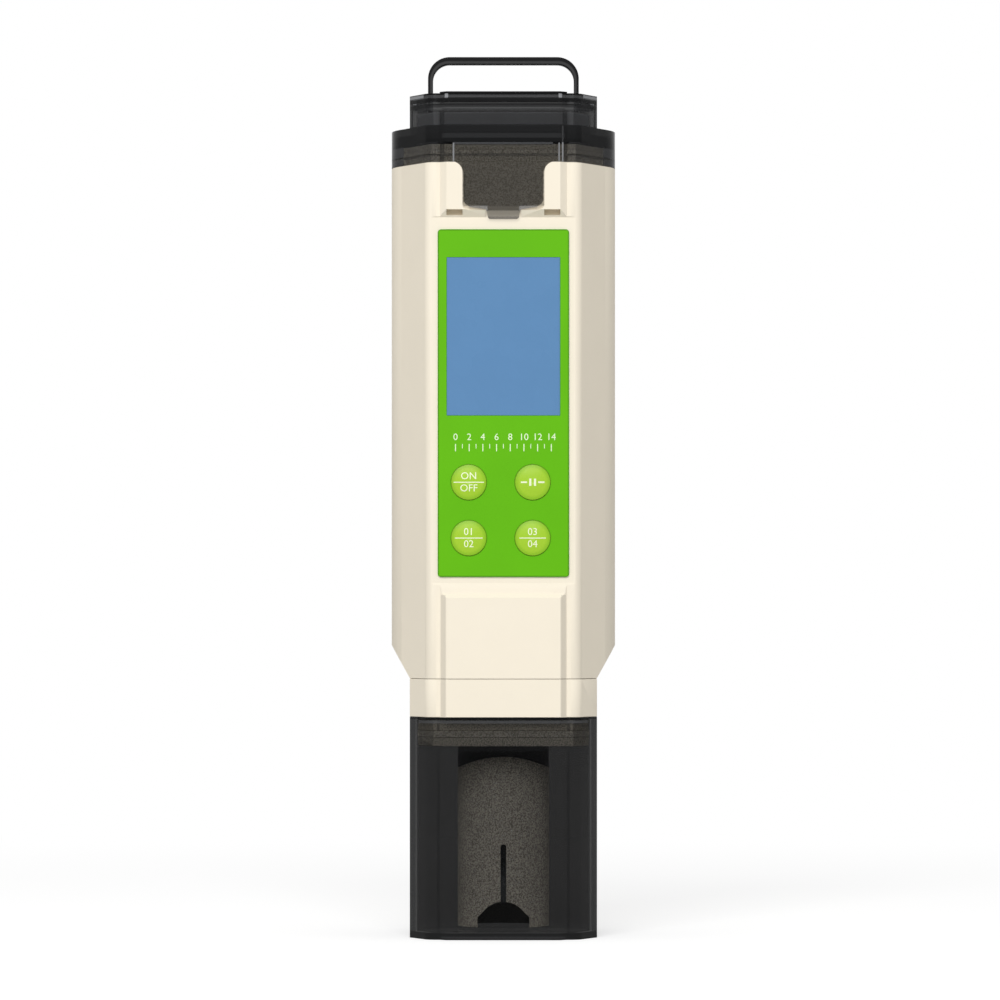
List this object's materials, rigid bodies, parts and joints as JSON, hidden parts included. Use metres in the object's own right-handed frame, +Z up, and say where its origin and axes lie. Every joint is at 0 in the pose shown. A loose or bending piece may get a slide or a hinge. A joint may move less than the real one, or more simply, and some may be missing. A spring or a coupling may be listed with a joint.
{
  "type": "water quality tester",
  "caption": "Pen-shaped water quality tester with a keypad panel, blue display, smoked battery cap with a hanging bail, and a smoked cap over a probe.",
  "frame": {"origin": "centre of the probe cap's underside, on the surface that the tester stands on", "axes": "+Z up along the pen, -Y out of the keypad panel, +X to the reader's right"},
  "size_m": [0.0404, 0.0364, 0.1583],
  "materials": {
    "cream_plastic": "satin moulded",
    "smoked_plastic": "polished, see-through",
    "black_plastic": "satin",
    "guard_plastic": "fine grained",
    "green_film": "smooth printed film",
    "key_plastic": "glossy domed",
    "lens_plastic": "clear polished",
    "display_glass": "even blue",
    "diffuser_plastic": "milky",
    "seal_rubber": "matt",
    "pale_silicone": "fine grained",
    "grey_plastic": "satin moulded",
    "board_laminate": "solder mask",
    "chip_resin": "matt",
    "white_plastic": "matt",
    "spring_steel": "bright",
    "probe_glass": "clear blown",
    "platinum": "bright",
    "junction_ceramic": "porous"
  },
  "bodies": {
    "meter": {"front_shell": "cream_plastic", "rear_shell": "cream_plastic", "neck_housing": "cream_plastic", "shell_seals": "seal_rubber", "spigot_seal": "pale_silicone", "neck_seal": "seal_rubber", "probe_cap_seal": "pale_silicone", "label_overlay": "green_film", "screen_lens": "lens_plastic", "key_seal": "seal_rubber", "tact_switches": "chip_resin", "lcd_panel": "display_glass", "lcd_backlight": "diffuser_plastic", "zebra_strips": "seal_rubber", "lcd_frame": "white_plastic", "main_board": "board_laminate", "board_screws": "spring_steel", "controller_chip": "chip_resin", "input_amplifier": "chip_resin", "board_socket": "white_plastic", "battery_holder": "black_plastic", "button_cells": "spring_steel", "cell_spring": "spring_steel", "contact_strip": "spring_steel", "probe_guard": "guard_plastic", "probe_collar": "black_plastic", "probe_core": "black_plastic", "probe_nut": "black_plastic", "ph_bulb": "probe_glass", "conductivity_pins": "spring_steel", "orp_pin": "platinum", "temperature_probe": "spring_steel", "reference_junction": "junction_ceramic", "module_plug": "white_plastic", "module_ribbon": "white_plastic"},
    "battery_cap": {"battery_cap": "smoked_plastic", "contact_carrier": "grey_plastic", "cap_contact": "spring_steel", "cap_gasket": "seal_rubber"},
    "bail": {"bail": "black_plastic"},
    "probe_cap": {"probe_cap": "smoked_plastic"},
    "power_key": {"button_power": "key_plastic", "plunger_power": "chip_resin"},
    "hold_key": {"button_hold": "key_plastic", "plunger_hold": "chip_resin"},
    "mode_key": {"button_mode": "key_plastic", "plunger_mode": "chip_resin"},
    "unit_key": {"button_unit": "key_plastic", "plunger_unit": "chip_resin"}
  },
  "joints": [
    {"name": "battery_cap_lift", "type": "slide", "parent": "meter", "child": "battery_cap", "axis": [0, 0, 1], "range_m": [0, 0.03]},
    {"name": "bail_fold", "type": "hinge", "parent": "battery_cap", "child": "bail", "pos_m": [0, 0, 0.1492], "axis": [1, 0, 0], "range_deg": [-90, 90]},
    {"name": "probe_cap_pull", "type": "slide", "parent": "meter", "child": "probe_cap", "axis": [0, 0, -1], "range_m": [0, 0.045]},
    {"name": "power_press", "type": "slide", "parent": "meter", "child": "power_key", "axis": [0, 1, 0], "range_m": [0, 0.0004], "stiffness_N_per_m": 400},
    {"name": "hold_press", "type": "slide", "parent": "meter", "child": "hold_key", "axis": [0, 1, 0], "range_m": [0, 0.0004], "stiffness_N_per_m": 400},
    {"name": "mode_press", "type": "slide", "parent": "meter", "child": "mode_key", "axis": [0, 1, 0], "range_m": [0, 0.0004], "stiffness_N_per_m": 400},
    {"name": "unit_press", "type": "slide", "parent": "meter", "child": "unit_key", "axis": [0, 1, 0], "range_m": [0, 0.0004], "stiffness_N_per_m": 400}
  ]
}
